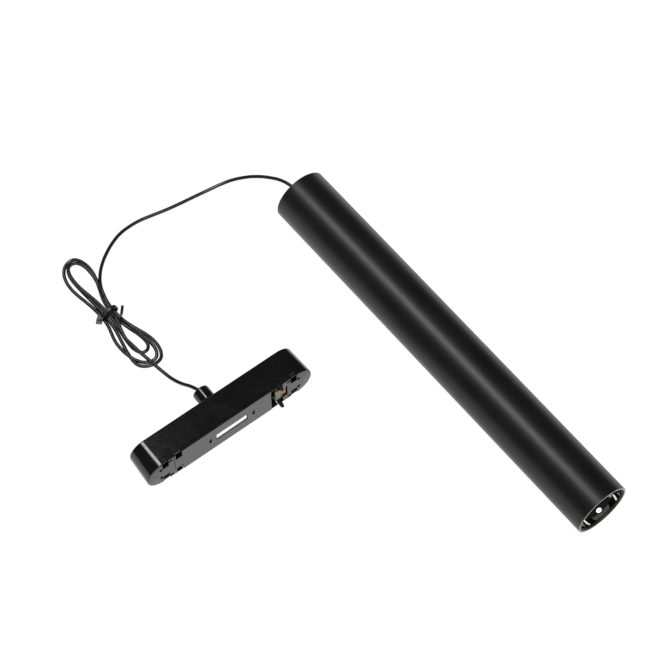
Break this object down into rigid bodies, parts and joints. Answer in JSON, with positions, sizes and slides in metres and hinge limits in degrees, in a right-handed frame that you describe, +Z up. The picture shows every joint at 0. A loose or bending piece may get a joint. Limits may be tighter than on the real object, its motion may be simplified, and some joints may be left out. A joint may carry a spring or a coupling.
{
  "type": "magnetic track pendant spotlight",
  "caption": "Slim black tube spotlight lying flat, with a deep glare cup, thin cord tied in a hank, and a round-ended magnetic track adapter with sprung contacts.",
  "frame": {"origin": "on the surface the parts lie on, below the middle of the box round the tube and the adapter, free cord left out", "axes": "+X along the tube towards its light end, +Y from the adapter towards the tube, +Z up from the surface"},
  "size_m": [0.367, 0.2265, 0.039],
  "materials": {
    "coated_metal": "fine satin black powder coat",
    "dark_mirror": "glossy near-black metallised anti-glare cup",
    "black_plastic": "moulded black plastic, satin",
    "cord_sheath": "soft black PVC sheath",
    "soft_rubber": "matt black rubber or coated wire",
    "bare_aluminium": "satin aluminium",
    "steel": "plated steel",
    "nickel": "bright nickel-plated magnet",
    "copper": "bare copper strip",
    "board": "green circuit board",
    "white_plastic": "white plastic or white board",
    "phosphor": "yellow phosphor",
    "clear": "clear lens",
    "ceramic": "dark grey ferrite",
    "red_sheath": "red wire sheath"
  },
  "bodies": {
    "fixture": {"lamp_tube": "coated_metal", "rear_cap": "coated_metal", "front_ring": "coated_metal", "glare_cup": "dark_mirror", "cord_bush": "black_plastic", "bush_nut": "black_plastic", "adapter_case": "black_plastic", "adapter_cover": "black_plastic", "magnet_clip": "black_plastic", "gland_body": "black_plastic", "cord_lamp_side": "cord_sheath", "cord_hank": "cord_sheath", "cord_adapter_side": "cord_sheath", "inner_cable": "cord_sheath", "adapter_cable": "cord_sheath", "led_lead_black": "cord_sheath", "feed_lead_lower": "cord_sheath", "twist_tie": "soft_rubber", "gland_seal": "soft_rubber", "driver_chip": "soft_rubber", "cap_ring": "bare_aluminium", "heat_sink": "bare_aluminium", "cup_spacer": "bare_aluminium", "driver_capacitor": "bare_aluminium", "cap_screw_left": "steel", "cap_screw_right": "steel", "cord_clamp": "steel", "clamp_screw": "steel", "led_screw_left": "steel", "led_screw_right": "steel", "case_screw_1": "steel", "case_screw_2": "steel", "magnet_keeper": "steel", "catch_spring_near_lower": "steel", "catch_spring_near_upper": "steel", "catch_spring_far_lower": "steel", "catch_spring_far_upper": "steel", "pin_spring_lower": "steel", "pin_spring_upper": "steel", "gland_locknut": "steel", "magnet": "nickel", "contact_strip_lower": "copper", "contact_strip_upper": "copper", "contact_board": "board", "driver_board": "board", "led_board": "white_plastic", "led_holder": "white_plastic", "led_emitter": "phosphor", "lens": "clear", "driver_inductor": "ceramic", "led_lead_red": "red_sheath", "feed_lead_upper": "red_sheath"},
    "contact_pin_lower_body": {"contact_pin_lower": "black_plastic"},
    "contact_pin_upper_body": {"contact_pin_upper": "black_plastic"},
    "catch_near_lower_body": {"catch_near_lower": "black_plastic"},
    "catch_near_upper_body": {"catch_near_upper": "black_plastic"},
    "catch_far_lower_body": {"catch_far_lower": "black_plastic"},
    "catch_far_upper_body": {"catch_far_upper": "black_plastic"},
    "gland_nut_body": {"gland_nut": "black_plastic"}
  },
  "joints": [
    {"name": "press_contact_pin_lower", "type": "slide", "parent": "fixture", "child": "contact_pin_lower_body", "axis": [-0.9739, 0.0289, 0.225], "range_m": [0, 0.0022], "stiffness_N_per_m": 300, "springref_m": -0.001, "deforming": ["pin_spring_lower"]},
    {"name": "press_contact_pin_upper", "type": "slide", "parent": "fixture", "child": "contact_pin_upper_body", "axis": [-0.9739, 0.0289, -0.225], "range_m": [0, 0.0022], "stiffness_N_per_m": 300, "springref_m": -0.001, "deforming": ["pin_spring_upper"]},
    {"name": "press_catch_near_lower", "type": "slide", "parent": "fixture", "child": "catch_near_lower_body", "axis": [0, 0, 1], "range_m": [0, 0.0012], "stiffness_N_per_m": 500, "springref_m": -0.0008, "deforming": ["catch_spring_near_lower"]},
    {"name": "press_catch_near_upper", "type": "slide", "parent": "fixture", "child": "catch_near_upper_body", "axis": [0, 0, -1], "range_m": [0, 0.0012], "stiffness_N_per_m": 500, "springref_m": -0.0008, "deforming": ["catch_spring_near_upper"]},
    {"name": "press_catch_far_lower", "type": "slide", "parent": "fixture", "child": "catch_far_lower_body", "axis": [0, 0, 1], "range_m": [0, 0.0012], "stiffness_N_per_m": 500, "springref_m": -0.0008, "deforming": ["catch_spring_far_lower"]},
    {"name": "press_catch_far_upper", "type": "slide", "parent": "fixture", "child": "catch_far_upper_body", "axis": [0, 0, -1], "range_m": [0, 0.0012], "stiffness_N_per_m": 500, "springref_m": -0.0008, "deforming": ["catch_spring_far_upper"]},
    {"name": "turn_gland_nut", "type": "hinge", "parent": "fixture", "child": "gland_nut_body", "pos_m": [-0.07222, -0.04779, 0.0131], "axis": [-0.9996, 0.0297, 0], "range_deg": [0, 1080]}
  ]
}
